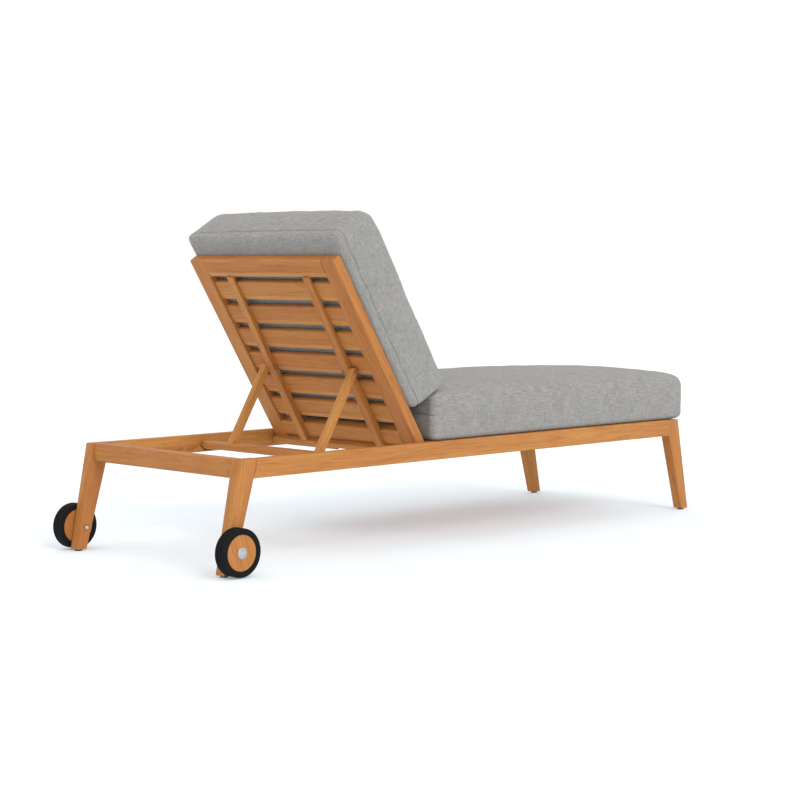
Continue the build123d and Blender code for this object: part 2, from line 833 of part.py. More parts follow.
def cushion_outline(half, start, end):
    """A cushion's outline with drawn-in sides and round corners, in the open sketch."""
    middle = (start + end) / 2
    corners = [(-half, start), (half, start), (half, end), (-half, end)]
    with BuildSketch(Plane.XY, mode=Mode.PRIVATE) as outline:
        with BuildLine():
            ThreePointArc(corners[0], (0, start + cushion_end_draw), corners[1])
            ThreePointArc(corners[1], (half - cushion_side_draw, middle), corners[2])
            ThreePointArc(corners[2], (0, end - cushion_end_draw), corners[3])
            ThreePointArc(corners[3], (cushion_side_draw - half, middle), corners[0])
        make_face()
        fillet(outline.vertices(), cushion_corner)
    add(outline.sketch)


def crown_section(half, edge, crown):
    """One section of a crowned top, down past the cushion's underside, in the open sketch."""
    with BuildSketch(Plane.XY, mode=Mode.PRIVATE) as outline:
        with BuildLine():
            Polyline((half, edge), (half, -overrun), (-half, -overrun), (-half, edge))
            ThreePointArc((-half, edge), (0, crown), (half, edge))
        make_face()
    add(outline.sketch)


def cushion(base, half, rear, front, edges, crowns, name, cut=None):
    """A boxed cushion on a base plane. Its own axes are X, along the cushion and out of the base.

    half is its width on either side of the middle. rear and front are its two ends on the
    base and on its far face. edges and crowns are the heights of its far face at the sides
    and in the middle, at both ends and between.
    """
    thickness = max(crowns) + overrun
    starts = (min(rear[0], front[0]) - overrun, max(rear[1], front[1]) + overrun)
    stations = (starts[1], (starts[0] + starts[1]) / 2, starts[0])
    with BuildPart() as piece:
        with BuildSketch(base):
            cushion_outline(half, rear[0], rear[1])
        with BuildSketch(base.offset(thickness)):
            cushion_outline(half, front[0], front[1])
        loft(ruled=True)
        for station, edge, crown in zip(stations, edges, crowns):
            origin = base.from_local_coords((0, station, 0))
            with BuildSketch(Plane(origin=origin, x_dir=base.x_dir, z_dir=-base.y_dir)):
                crown_section(half + overrun, edge, crown)
        loft(mode=Mode.INTERSECT)
        outward = Axis(base.origin, base.z_dir)
        fillet(piece.faces().sort_by(outward)[-1].edges(), cushion_upper_edge)
        fillet(piece.faces().sort_by(outward)[0].edges(), cushion_lower_edge)
        if cut is not None:
            split(bisect_by=cut, keep=Keep.BOTTOM)
    save(piece, name)


# Base frame
for side_name, side in sides.items():
    for end_name, end in ends.items():
        leg(side, end, f"leg_{end_name}_{side_name}")
    side_rail(side, f"side_rail_{side_name}")
    slat_cleat(side, f"slat_cleat_{side_name}")
    rack(side, f"rack_{side_name}")
    hinge_pin(side, f"hinge_pin_{side_name}")
for end_name, end in ends.items():
    low, high = end_rail_faces(end)
    cross_rail(low, high, rail_bottom, leg_inner, tenon_length, end_rail_lower_edge, f"{end_name}_rail")
seat_rail_bottom = rail_top - seat_rail_height
cross_rail(
    seat_rail_foot, seat_rail_head, seat_rail_bottom, rail_inner, seat_tenon_length, rail_edge, "seat_rail"
)
for index, middle in enumerate(seat_slat_middles()):
    seat_slat(middle, f"seat_slat_{index + 1:02d}")
glides()
screws([(Plane.XY.offset(rail_top), seat_screw_points())], seat_screw_length, "seat_screws")
rack_screw_places = [(rack_face(side), rack_screw_points(-side)) for side in sides.values()]
screws(rack_screw_places, rack_screw_length, "rack_screws")
axle_bolts()
axle_nuts()

# Back
for side_name, side in sides.items():
    stile(side, f"stile_{side_name}")
    batten(side, f"batten_{side_name}")
for place in member_places():
    back_member(place)
ledger()
slat_front = slat_rear + back_slat_thickness
screws([(back_face(slat_front), back_screw_points())], back_screw_length, "back_screws")
prop_bolts()
prop_nuts()

# Prop
for side_name, side in sides.items():
    strut(side, f"prop_strut_{side_name}")
crossbar()

# Wheels
for side_name, side in sides.items():
    tyre(side, f"tyre_{side_name}")
    wheel_disc(side, f"wheel_disc_{side_name}")
    wheel_bush(side, f"wheel_bush_{side_name}")

# Cushions
back_base = back_face(stile_front + soft_gap)
cushion(
    back_base,
    stile_outer + back_cushion_side_overhang,
    (back_cushion_rear_start, back_cushion_rear_end),
    (back_cushion_front_start, back_cushion_front_end),
    back_cushion_edges,
    back_cushion_crowns,
    "back_cushion",
)

# The seat cushion ends short of the back's front face, and is pressed down under the back cushion
seat_base = Plane.XY.offset(rail_top + soft_gap)
front_rise = (rail_top + soft_gap - hinge_height - stile_front * cos(lean)) / sin(lean)
seat_head = hinge_y + front_rise * cos(lean) - stile_front * sin(lean) - seat_cushion_back_gap
seat_foot = middle_y - half_length - seat_cushion_overhang
press_rear = back_base.from_local_coords((0, back_cushion_rear_start, 0))
press_front = back_base.offset(max(back_cushion_crowns) + overrun).from_local_coords(
    (0, back_cushion_front_start, 0)
)
press_along = (press_rear - press_front).normalized()
press_normal = Vector(1, 0, 0).cross(press_along)
press_plane = Plane(
    origin=press_rear - press_normal * cushion_meeting_gap, x_dir=(1, 0, 0), z_dir=press_normal
)
cushion(
    seat_base,
    half_width - seat_cushion_inset,
    (seat_foot, seat_head),
    (seat_foot, seat_head),
    seat_cushion_edges,
    seat_cushion_crowns,
    "seat_cushion",
    cut=press_plane,
)
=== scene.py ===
"""The looks of the chaise lounger: oiled wood, two boxed foam cushions in a heathered weave,
rubber tyres and satin steel, on a pale floor. Metres, in the frame of the CAD model."""
import math

import bpy
import numpy as np
from mathutils import Matrix, Vector
from mathutils.bvhtree import BVHTree


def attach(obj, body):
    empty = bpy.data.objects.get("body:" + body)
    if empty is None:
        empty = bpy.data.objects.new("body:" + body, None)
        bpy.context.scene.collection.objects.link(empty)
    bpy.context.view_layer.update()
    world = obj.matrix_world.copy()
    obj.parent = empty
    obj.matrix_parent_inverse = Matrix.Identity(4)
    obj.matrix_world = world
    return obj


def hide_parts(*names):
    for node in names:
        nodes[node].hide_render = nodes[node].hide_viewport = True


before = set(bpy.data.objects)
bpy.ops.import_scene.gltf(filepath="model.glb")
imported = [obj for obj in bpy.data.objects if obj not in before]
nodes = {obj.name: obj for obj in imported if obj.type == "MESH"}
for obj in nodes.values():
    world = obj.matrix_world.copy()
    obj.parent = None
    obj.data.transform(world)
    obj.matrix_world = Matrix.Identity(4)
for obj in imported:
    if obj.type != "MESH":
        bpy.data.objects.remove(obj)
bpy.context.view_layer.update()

# Directions of the back, and of the wood's grain
back_lean = math.radians(58.11)
up_back = Vector((0, math.cos(back_lean), math.sin(back_lean)))
back_front = Vector((0, -math.sin(back_lean), math.cos(back_lean)))
leg_lean = math.radians(13.65)
strut_lean = math.radians(59.3)
disc_lean = math.radians(17)


# Materials


class Shader:
    """A material whose nodes are added one call at a time."""

    def __init__(self, name):
        self.material = bpy.data.materials.new(name)
        self.material.use_nodes = True
        self.tree = self.material.node_tree
        self.tree.nodes.clear()
        self.output = self.tree.nodes.new("ShaderNodeOutputMaterial")

    def node(self, kind, inputs=None, **settings):
        """A new node with its settings, its values and its links."""
        made = self.tree.nodes.new("ShaderNode" + kind)
        for key, value in settings.items():
            setattr(made, key, value)
        for key, value in (inputs or {}).items():
            if isinstance(value, bpy.types.NodeSocket):
                self.tree.links.new(value, made.inputs[key])
            else:
                made.inputs[key].default_value = value
        return made

    def math(self, operation, *values):
        """The result of one sum."""
        return self.node("Math", dict(enumerate(values)), operation=operation).outputs[0]

    def plus(self, first, second):
        """Two numbers added."""
        return self.math("ADD", first, second)

    def times(self, first, second):
        """Two numbers multiplied."""
        return self.math("MULTIPLY", first, second)

    def dot(self, vector, direction):
        """How far a vector reaches along a direction."""
        made = self.node("VectorMath", {0: vector, 1: direction}, operation="DOT_PRODUCT")
        return made.outputs["Value"]

    def combine(self, x, y, z):
        """A vector from three numbers."""
        return self.node("CombineXYZ", {0: x, 1: y, 2: z}).outputs[0]

    def scaled(self, vector, scale, shift=(0, 0, 0)):
        """A vector with each part scaled and moved."""
        inputs = {0: vector, 1: scale, 2: shift}
        return self.node("VectorMath", inputs, operation="MULTIPLY_ADD").outputs[0]

    def noise(self, vector, detail=2.0, roughness=0.5, scale=1.0):
        """Soft noise from 0 to 1."""
        inputs = {"Vector": vector, "Scale": scale, "Detail": detail, "Roughness": roughness}
        return self.node("TexNoise", inputs).outputs[0]

    def spread(self, value, low, high, to_low=0.0, to_high=1.0, smooth=True):
        """A value carried from one range to another, held at its ends."""
        ends = {"From Min": low, "From Max": high, "To Min": to_low, "To Max": to_high}
        kind = "SMOOTHSTEP" if smooth else "LINEAR"
        return self.node("MapRange", {"Value": value, **ends}, interpolation_type=kind).outputs[0]

    def mix(self, share, first, second, blend="MIX"):
        """Two colours mixed by a share."""
        inputs = {0: share, 6: first, 7: second}
        return self.node("Mix", inputs, data_type="RGBA", blend_type=blend).outputs[2]

    def choose(self, share, first, second):
        """Two numbers mixed by a share."""
        return self.node("Mix", {0: share, 2: first, 3: second}, data_type="FLOAT").outputs[0]

    def bump(self, height, distance, strength=1.0):
        """A normal raised by a height."""
        inputs = {"Height": height, "Distance": distance, "Strength": strength}
        return self.node("Bump", inputs).outputs[0]

    def finish(self, **inputs):
        """The shader itself. Names take spaces for underscores."""
        values = {key.replace("_", " "): value for key, value in inputs.items()}
        shader = self.node("BsdfPrincipled", values)
        self.tree.links.new(shader.outputs[0], self.output.inputs[0])
        return self.material


def rgb(red, green, blue):
    """A linear colour from the 0 to 255 values of a screen."""
    def linear(value):
        value = value / 255
        return value / 12.92 if value <= 0.04045 else ((value + 0.055) / 1.055) ** 2.4
    return (linear(red), linear(green), linear(blue), 1.0)


wood_pale = rgb(191, 130, 70)
wood_middle = rgb(179, 117, 61)
wood_red = rgb(167, 96, 48)
wood_late = rgb(157, 93, 45)
wood_streak = rgb(133, 73, 31)
wood_pore = rgb(89, 44, 19)
wood_painted_highlight = rgb(212, 154, 92)
weave_cool = rgb(145, 144, 139)
weave_warm = rgb(152, 148, 144)
rubber_black = (0.008, 0.0083, 0.0085, 1)
rubber_dust = (0.026, 0.025, 0.024, 1)
steel_pale = (0.55, 0.555, 0.55, 1)
steel_dark = (0.46, 0.465, 0.46, 1)
bronze_dark = (0.27, 0.13, 0.048, 1)
bronze_pale = (0.34, 0.17, 0.064, 1)
plastic_black = (0.018, 0.018, 0.019, 1)
plastic_worn = (0.045, 0.043, 0.04, 1)

# Steps that scatter the shares of successive boards evenly between 0 and 1
even_steps = (0.618034, 0.7548777, 0.5698403)
# A board's place beside the pith, in two directions, and how pale it is, each as the least
# value and the range above it
pith_side = (0.055, 0.09)
pith_other = (0.02, 0.07)
paleness = (0.95, 0.1)
# The distance along the trunk from one board to the next
board_spacing = 3.7
rings_per_metre = 95.0
ring_wander = 9.0


def wood(name, grain, number, lift=1.0, painted_highlight_normal=None):
    """Oiled hardwood with its grain along a direction.

    The number moves it to another part of the tree, lift makes a paler board (on some boards as
    painted light), and the faces that look along the given direction get a painted highlight.
    """
    shader = Shader(name)
    along = Vector(grain).normalized()
    side = along.orthogonal().normalized()
    other = along.cross(side)
    place = shader.node("TexCoord").outputs["Object"]
    side_share, other_share, level_share = [(number * step) % 1 for step in even_steps]
    log = shader.combine(
        shader.plus(shader.dot(place, side), pith_side[0] + pith_side[1] * side_share),
        shader.plus(shader.dot(place, other), pith_other[0] + pith_other[1] * other_share),
        shader.plus(shader.dot(place, along), board_spacing * number),
    )

    def figure(across, lengthwise, detail, roughness=0.5, shift=(0, 0, 0)):
        """Noise with one scale across the grain and one along it."""
        drawn = shader.scaled(log, (across, across, lengthwise), shift)
        return shader.noise(drawn, detail, roughness)

    # Growth rings round a wandering pith
    wander = figure(across=7.0, lengthwise=1.6, detail=3.0)
    flat = shader.scaled(log, (1, 1, 0))
    radius = shader.node("VectorMath", {0: flat}, operation="LENGTH").outputs["Value"]
    rings = shader.plus(shader.times(radius, rings_per_metre), shader.times(wander, ring_wander))
    ring = shader.math("FRACT", rings)
    late = shader.times(shader.spread(ring, 0.3, 0.86), shader.spread(ring, 1.0, 0.9))
    # Streaks, dashes, fibres and pores that run with the grain
    streaks = figure(across=170, lengthwise=9, detail=4.0, roughness=0.62)
    dashes = figure(across=420, lengthwise=22, detail=2.0)
    fibres = figure(across=1100, lengthwise=30, detail=2.0)
    tone = figure(across=26, lengthwise=1.7, detail=3.0)
    blush = figure(across=40, lengthwise=4.5, detail=2.0, shift=(3, 5, 7))
    pore = shader.spread(figure(across=1500, lengthwise=75, detail=1.0), 0.66, 0.74)
    # How much of each tint shows, laid one over the other
    colour = shader.mix(shader.spread(tone, 0.3, 0.7), wood_pale, wood_middle)
    for share, tint in (
        (shader.spread(blush, 0.52, 0.75, 0.0, 0.5), wood_red),
        (shader.times(late, 0.24), wood_late),
        (shader.spread(streaks, 0.5, 0.76, 0.0, 0.5), wood_streak),
        (shader.spread(dashes, 0.5, 0.74, 0.0, 0.3), wood_streak),
        (shader.spread(fibres, 0.35, 0.7, 0.0, 0.16), wood_late),
        (shader.times(pore, 0.4), wood_pore),
    ):
        colour = shader.mix(share, colour, tint)
    if painted_highlight_normal is not None:
        # Painted highlight: faces turned along the given direction are made paler, as if lit from
        # below
        highlight_facing = shader.dot(shader.node("TexCoord").outputs["Normal"], painted_highlight_normal)
        colour = shader.mix(shader.spread(highlight_facing, 0.972, 0.995, 0.0, 0.45), colour, wood_painted_highlight)
    level = lift * (paleness[0] + paleness[1] * level_share)
    colour = shader.mix(1.0, colour, (level, level * level, level * level, 1), "MULTIPLY")
    raised = shader.plus(shader.times(fibres, 0.5), shader.times(late, 0.25))
    return shader.finish(
        Base_Color=colour,
        Roughness=shader.spread(streaks, 0.3, 0.8, 0.44, 0.62),
        Specular_IOR_Level=0.2,
        Normal=shader.bump(shader.math("SUBTRACT", raised, pore), 0.00035, 0.5),
    )


thread_pitch = 0.0016
# A thread's tone: the step in its noise from one thread to the next, and its drift per metre
thread_step = 9.7
thread_drift = 60.0


def fabric(name, tilt):
    """A heathered weave, laid on each face of a cushion. tilt is the cushion's lean about X."""
    shader = Shader(name)
    coordinates = shader.node("TexCoord")
    turn = {"Rotation": (-tilt, 0, 0)}
    place = shader.node(
        "Mapping", {"Vector": coordinates.outputs["Object"], **turn}, vector_type="POINT"
    )
    normal = shader.node(
        "Mapping", {"Vector": coordinates.outputs["Normal"], **turn}, vector_type="NORMAL"
    )
    x, y, z = shader.node("SeparateXYZ", {0: place.outputs[0]}).outputs
    facing = shader.node("VectorMath", {0: normal.outputs[0]}, operation="ABSOLUTE")
    nx, ny, nz = shader.node("SeparateXYZ", {0: facing.outputs[0]}).outputs
    on_top = shader.math("GREATER_THAN", nz, shader.math("MAXIMUM", nx, ny))
    on_side = shader.math("GREATER_THAN", nx, ny)
    across = shader.choose(on_top, shader.choose(on_side, x, y), x)
    up = shader.choose(on_top, z, y)

    def rounded(threads):
        """The rise and fall of each thread."""
        return shader.math("ABSOLUTE", shader.math("SINE", shader.times(threads, math.pi)))

    def heather(across_place, across_scale, up_place, up_scale, shift):
        """Noise with one scale across a face and one up it."""
        drawn = shader.times(across_place, across_scale), shader.times(up_place, up_scale)
        return shader.noise(shader.combine(*drawn, shift))

    warp = shader.math("DIVIDE", across, thread_pitch)
    weft = shader.math("DIVIDE", up, thread_pitch)
    warp_thread = shader.math("FLOOR", warp)
    weft_thread = shader.math("FLOOR", weft)
    over = shader.math("PINGPONG", shader.plus(warp_thread, weft_thread), 1.0)
    # Each thread has its own tone, which drifts along it
    warp_tone = heather(warp_thread, thread_step, up, thread_drift, shift=4.0)
    weft_tone = heather(across, thread_drift, weft_thread, thread_step, shift=9.0)
    tone = shader.choose(over, warp_tone, weft_tone)
    relief = shader.choose(over, rounded(warp), rounded(weft))
    # Slubs and patches, which show from further away
    slubs = heather(across, 30.0, up, 330.0, shift=1.0)
    ticks = heather(across, 330.0, up, 34.0, shift=2.0)
    patches = shader.noise(shader.scaled(place.outputs[0], (14, 14, 14)), detail=3.0)
    # The range of each part, and how dark and how pale it makes the weave; the relief's row is
    # painted shade, darker in the hollows between threads
    light = shader.spread(tone, 0.25, 0.75, 0.78, 1.22, False)
    for value, low, high, dark, pale in (
        (slubs, 0.25, 0.75, 0.80, 1.20),
        (ticks, 0.25, 0.75, 0.84, 1.16),
        (patches, 0.3, 0.7, 0.96, 1.04),
        # Painted shade in the hollows between threads
        (relief, 0.0, 0.7, 0.72, 1.06),
    ):
        light = shader.times(light, shader.spread(value, low, high, dark, pale, False))
    grey = shader.mix(slubs, weave_cool, weave_warm)
    colour = shader.node("VectorMath", {0: grey, "Scale": light}, operation="SCALE").outputs[0]
    return shader.finish(
        Base_Color=colour,
        Roughness=0.95,
        Specular_IOR_Level=0.15,
        Sheen_Weight=0.18,
        Sheen_Roughness=0.55,
        Sheen_Tint=(0.86, 0.82, 0.88, 1),
        Normal=shader.bump(relief, 0.0005, 0.6),
    )


def rubber(name):
    """Matt black rubber with a little dust."""
    shader = Shader(name)
    place = shader.node("TexCoord").outputs["Object"]
    dust = shader.noise(place, detail=5.0, roughness=0.65, scale=55.0)
    grit = shader.noise(place, detail=2.0, scale=1500.0)
    return shader.finish(
        Base_Color=shader.mix(shader.spread(dust, 0.5, 0.85, 0.0, 0.35), rubber_black, rubber_dust),
        Roughness=shader.spread(dust, 0.3, 0.8, 0.7, 0.92),
        Specular_IOR_Level=0.12,
        Normal=shader.bump(grit, 0.0002, 0.5),
    )


def steel(name):
    """Satin stainless steel, brushed in fine lines."""
    shader = Shader(name)
    place = shader.node("TexCoord").outputs["Object"]
    lines = shader.noise(shader.scaled(place, (200, 4200, 260)), detail=3.0)
    marks = shader.noise(place, detail=3.0, scale=90.0)
    return shader.finish(
        Base_Color=shader.mix(shader.spread(marks, 0.3, 0.7), steel_pale, steel_dark),
        Metallic=1.0,
        Roughness=shader.spread(lines, 0.3, 0.7, 0.24, 0.4),
        Normal=shader.bump(lines, 0.00004, 0.4),
    )


def bronze(name):
    """Dull brown hardware that does not stand out from the wood."""
    shader = Shader(name)
    place = shader.node("TexCoord").outputs["Object"]
    marks = shader.noise(place, detail=3.0, scale=120.0)
    return shader.finish(
        Base_Color=shader.mix(shader.spread(marks, 0.3, 0.7), bronze_dark, bronze_pale),
        Metallic=0.3,
        Roughness=shader.spread(marks, 0.3, 0.7, 0.5, 0.65),
    )


def plastic(name):
    """Black moulded plastic with a fine grained skin."""
    shader = Shader(name)
    place = shader.node("TexCoord").outputs["Object"]
    grain = shader.noise(place, detail=2.0, scale=2200.0)
    wear = shader.noise(place, detail=4.0, scale=70.0)
    return shader.finish(
        Base_Color=shader.mix(shader.spread(wear, 0.45, 0.8), plastic_black, plastic_worn),
        Roughness=shader.spread(wear, 0.3, 0.8, 0.42, 0.6),
        Normal=shader.bump(grain, 0.0001, 0.4),
    )


def grain_of(name):
    """The direction of the grain of a wooden node, or nothing for the others."""
    if name.startswith("leg_"):
        end = 1 if "head" in name else -1
        return (0, end * math.sin(leg_lean), -math.cos(leg_lean))
    if name.startswith(("side_rail", "slat_cleat", "rack_l", "rack_r")):
        return (0, 1, 0)
    if name.startswith(("stile", "batten")):
        return up_back
    if name.startswith("prop_strut"):
        return (0, math.cos(strut_lean), -math.sin(strut_lean))
    if name.startswith("wheel_disc"):
        return (0, math.sin(disc_lean), math.cos(disc_lean))
    if name.endswith(("_rail", "crossbar", "ledger")) or "slat_" in name:
        return (1, 0, 0)
    return None


def dress(node, material):
    """Give an object its one material."""
    node.data.materials.clear()
    node.data.materials.append(material)


# Boards made paler than the others: painted light for the lit inner face of the far side rail and
# the struts' bright faces, and on the struts a paler tone as well
tone_and_painted_light_lift = {"prop_strut_left": 1.12, "prop_strut_right": 1.12, "side_rail_left": 1.12}
# The bevel at the lower rear edge of the back's boards, in millimetres, and where it faces; faces
# turned that way get a painted highlight
bevelled = ("back_slat", "back_top_rail")
bevel_depth, bevel_height = 5, 16
bevel_lean = math.atan2(bevel_depth, bevel_height)
bevel_normal = -math.cos(bevel_lean) * back_front - math.sin(bevel_lean) * up_back

satin_steel = steel("satin_steel")
brown_bronze = bronze("brown_bronze")
black_rubber = rubber("black_rubber")
black_plastic = plastic("black_plastic")
for number, name in enumerate(sorted(nodes)):
    if name.startswith("tyre"):
        dress(nodes[name], black_rubber)
    elif name.startswith(("foot_glides", "wheel_bush")):
        dress(nodes[name], black_plastic)
    elif grain_of(name):
        lift = tone_and_painted_light_lift.get(name, 1.0)
        painted_highlight_normal = bevel_normal if name.startswith(bevelled) else None
        dress(nodes[name], wood("wood_" + name, grain_of(name), number + 1, lift, painted_highlight_normal))
    elif name.startswith(("prop_bolts", "prop_nuts", "rack_screws")):
        dress(nodes[name], brown_bronze)
    elif not name.endswith("cushion"):
        dress(nodes[name], satin_steel)


# Cushions


def fade(value, start, length):
    """A share that grows from 0 to 1 over a length."""
    return np.clip((value - start) / length, 0, 1)


def between(first, last, share):
    """The value at a share of the way from one value to another."""
    return first + (last - first) * share


# Grid lines in a rounded band, and those that stand by a seam in place of the ones near it
band_lines = 6
seam_clear = 0.006
seam_lines = (-0.0045, -0.0016, 0, 0.0016, 0.0045)


def grid_lines(low, high, low_band, high_band, step, seam=None):
    """Grid lines from low to high: close in the rounded bands at both ends and by a seam."""
    lines = list(np.linspace(low, low + low_band, band_lines))
    count = max(2, round((high - high_band - low - low_band) / step))
    lines += list(np.linspace(low + low_band, high - high_band, count + 1))[1:]
    lines += list(np.linspace(high - high_band, high, band_lines))[1:]
    if seam is not None:
        lines = [line for line in lines if abs(line - seam) > seam_clear]
        lines += [seam + offset for offset in seam_lines]
    return np.array(sorted(lines))


def box_skin(xs, ys, zs):
    """The points and faces of a closed box whose faces carry a grid."""
    index = {}
    points = []
    faces = []

    def face(*places):
        """Add a face through places of the grid, and the points that are new."""
        for i, j, k in places:
            if (i, j, k) not in index:
                index[(i, j, k)] = len(points)
                points.append((xs[i], ys[j], zs[k]))
        faces.append([index[place] for place in places])

    x_end, y_end, z_end = len(xs) - 1, len(ys) - 1, len(zs) - 1
    for i in range(x_end):
        for j in range(y_end):
            face((i, j, 0), (i, j + 1, 0), (i + 1, j + 1, 0), (i + 1, j, 0))
            face((i, j, z_end), (i + 1, j, z_end), (i + 1, j + 1, z_end), (i, j + 1, z_end))
    for i in range(x_end):
        for k in range(z_end):
            face((i, 0, k), (i + 1, 0, k), (i + 1, 0, k + 1), (i, 0, k + 1))
            face((i, y_end, k), (i, y_end, k + 1), (i + 1, y_end, k + 1), (i + 1, y_end, k))
    for j in range(y_end):
        for k in range(z_end):
            face((0, j, k), (0, j, k + 1), (0, j + 1, k + 1), (0, j + 1, k))
            face((x_end, j, k), (x_end, j + 1, k), (x_end, j + 1, k + 1), (x_end, j, k + 1))
    return np.array(points, float), faces


# A length too short to divide by, and a move too short to make
tiny = 1e-9
no_move = 1e-12


def round_over(points, half, thickness, radius, upper):
    """Round the edges of the top, or of the underside, of a box that stands on z = 0."""
    inset = np.minimum(half[0] - np.abs(points[:, 0]), half[1] - np.abs(points[:, 1]))
    height = points[:, 2] if upper else thickness - points[:, 2]
    out = np.clip(radius - inset, 0, None)
    rise = np.clip(height - (thickness - radius), 0, None)
    length = np.hypot(out, rise)
    both = (out > 0) & (rise > 0)
    scale = np.where(both, radius / np.maximum(length, tiny), 1)
    inset_new = np.where(both, radius - out * scale, inset)
    height_new = np.where(both, thickness - radius + rise * scale, height)
    result = points.copy()
    result[:, 2] = height_new if upper else thickness - height_new
    return move_in(result, half, inset, inset_new)


def move_in(points, half, inset, inset_new):
    """Move points sideways from one distance inside the box's sides to another."""
    result = points.copy()
    band = 0.06
    reach_old = band - inset
    reach_new = band - inset_new
    for axis in (0, 1):
        over = np.abs(points[:, axis]) - (half[axis] - band)
        inside = (over > 0) & (reach_old > tiny) & (np.abs(inset_new - inset) > no_move)
        moved = over * np.where(inside, reach_new / np.maximum(reach_old, tiny), 1)
        placed = np.sign(points[:, axis]) * (half[axis] - band + moved)
        result[:, axis] = np.where(inside, placed, points[:, axis])
    return result


def round_corners(points, half, radius):
    """Round the upright corners of a box by a radius at each point."""
    over_x = np.abs(points[:, 0]) - (half[0] - radius)
    over_y = np.abs(points[:, 1]) - (half[1] - radius)
    corner = (over_x > 0) & (over_y > 0)
    length = np.hypot(over_x, over_y)
    scale = np.where(corner, np.maximum(over_x, over_y) / np.maximum(length, tiny), 1)
    result = points.copy()
    for axis, over in ((0, over_x), (1, over_y)):
        placed = np.sign(points[:, axis]) * (half[axis] - radius + over * scale)
        result[:, axis] = np.where(corner, placed, points[:, axis])
    return result


def through(three, share):
    """A smooth value through three others, at shares of -1, 0 and 1."""
    first, middle, last = three
    return middle + share * (last - first) / 2 + share * share * ((first + last) / 2 - middle)


def top_height(form, share_x, share_y):
    """The height of a cushion's crowned top at shares of its half width and half length."""
    edge = through(form["edges"], share_y)
    crown = through(form["crowns"], share_y)
    return edge + (crown - edge) * (1 - share_x * share_x)


# Bands of closer grid lines at a cushion's sides, at its start and, past its rounding, its end
side_band = 0.032
start_band = 0.036
end_band_extra = 0.004
# Where a rounding or the bulge changes along a cushion, and over how much, in half lengths
upper_turn = (0.7, 0.25)
lower_turn = (-0.98, 0.12)
bulge_turn = (0.9, 0.1)
# The share of the bulge that is lost at the cushion's sides
bulge_loss = 0.4


def cushion_mesh(form):
    """The points, in the cushion's own axes, and the faces of a boxed cushion.

    The third result is where each point lies on the plain box. In the form, pairs are the
    values at the cushion's start and end, and threes are those at its start, middle and end.
    """
    half = (form["width"] / 2, (form["rear"][1] - form["rear"][0]) / 2)
    thickness = form["thickness"]
    upper_band, lower_band = max(form["upper"]), max(form["lower"])
    xs = grid_lines(-half[0], half[0], side_band, side_band, form["step"])
    ys = grid_lines(-half[1], half[1], start_band, upper_band + end_band_extra, form["step"])
    zs = grid_lines(0, thickness, lower_band, upper_band, form["step"], form["seam"])
    points, faces = box_skin(xs, ys, zs)
    flat = points.copy()
    upper = between(*form["upper"], fade(points[:, 1] / half[1], *upper_turn))
    points = round_over(points, half, thickness, upper, True)
    lower = between(*form["lower"], fade(points[:, 1] / half[1], *lower_turn))
    points = round_over(points, half, thickness, lower, False)
    rise = points[:, 2] / thickness
    at_end = (points[:, 1] > 0).astype(int)
    rear_corner = np.array(form["rear_corner"])[at_end]
    front_corner = np.array(form["front_corner"])[at_end]
    points = round_corners(points, half, between(rear_corner, front_corner, rise))
    share_x = points[:, 0] / half[0]
    share_y = points[:, 1] / half[1]
    height = top_height(form, share_x, share_y)
    points[:, 0] -= share_x * form["side_draw"] * (1 - share_y * share_y)
    points[:, 1] -= share_y * form["end_draw"] * (1 - share_x * share_x)
    low_end = fade(-share_y, *bulge_turn) * (1 - bulge_loss * share_x**4)
    points[:, 1] -= form["low_bulge"] * low_end * 4 * rise * (1 - rise)
    points[:, 2] = rise * height
    start = between(form["rear"][0], form["front"][0], rise)
    end = between(form["rear"][1], form["front"][1], rise)
    points[:, 1] = (start + end) / 2 + points[:, 1] / half[1] * (end - start) / 2
    return points, faces, flat


# Waves in a noise, their lengths in sizes of its features, and what their sum is divided by
noise_waves = 9
wave_lengths = (0.75, 1.5)
noise_reach = 3.2


def smooth_noise(points, size, seed):
    """Gentle noise between about -1 and 1 over points, with features of one size."""
    draw = np.random.default_rng(seed)
    total = np.zeros(len(points))
    for wave in range(noise_waves):
        direction = draw.normal(size=3)
        direction /= np.linalg.norm(direction)
        length = size * draw.uniform(*wave_lengths)
        phase = draw.uniform(0, 2 * math.pi)
        total += np.sin(points @ direction * 2 * math.pi / length + phase)
    return total / noise_reach


def mesh_object(name, points, faces):
    """A new object with a mesh, in the scene."""
    mesh = bpy.data.meshes.new(name)
    mesh.from_pydata([tuple(point) for point in points], [], faces)
    mesh.update()
    piece = bpy.data.objects.new(name, mesh)
    bpy.context.scene.collection.objects.link(piece)
    return piece


def read_points(piece, what="co"):
    """The points, or the normals at them, of an object's mesh as an array."""
    values = np.zeros(len(piece.data.vertices) * 3)
    piece.data.vertices.foreach_get(what, values)
    return values.reshape(-1, 3)


def write_points(piece, points):
    """Write an array of points back to an object's mesh."""
    piece.data.vertices.foreach_set("co", points.astype(np.float32).ravel())
    piece.data.update()


# How firmly the cloth is held at a cushion's edges, and how far from them this fades out
edge_hold = 0.5
edge_reach = 0.06


def near_edges(flat):
    """A weight for each point of a box, which fades away from the box's edges."""
    half = np.abs(flat).max(axis=0)
    above_or_below = np.minimum(flat[:, 2], half[2] - flat[:, 2])
    inset_x, inset_y = half[0] - np.abs(flat[:, 0]), half[1] - np.abs(flat[:, 1])
    insets = np.sort(np.stack([inset_x, inset_y, above_or_below], axis=1), axis=1)
    return edge_hold * np.clip(1 - insets[:, 1] / edge_reach, 0, 1)


cloth_pressure = 4.0
cloth_frames = 20
# The furthest that the cloth may move a point
cloth_cap = 0.006


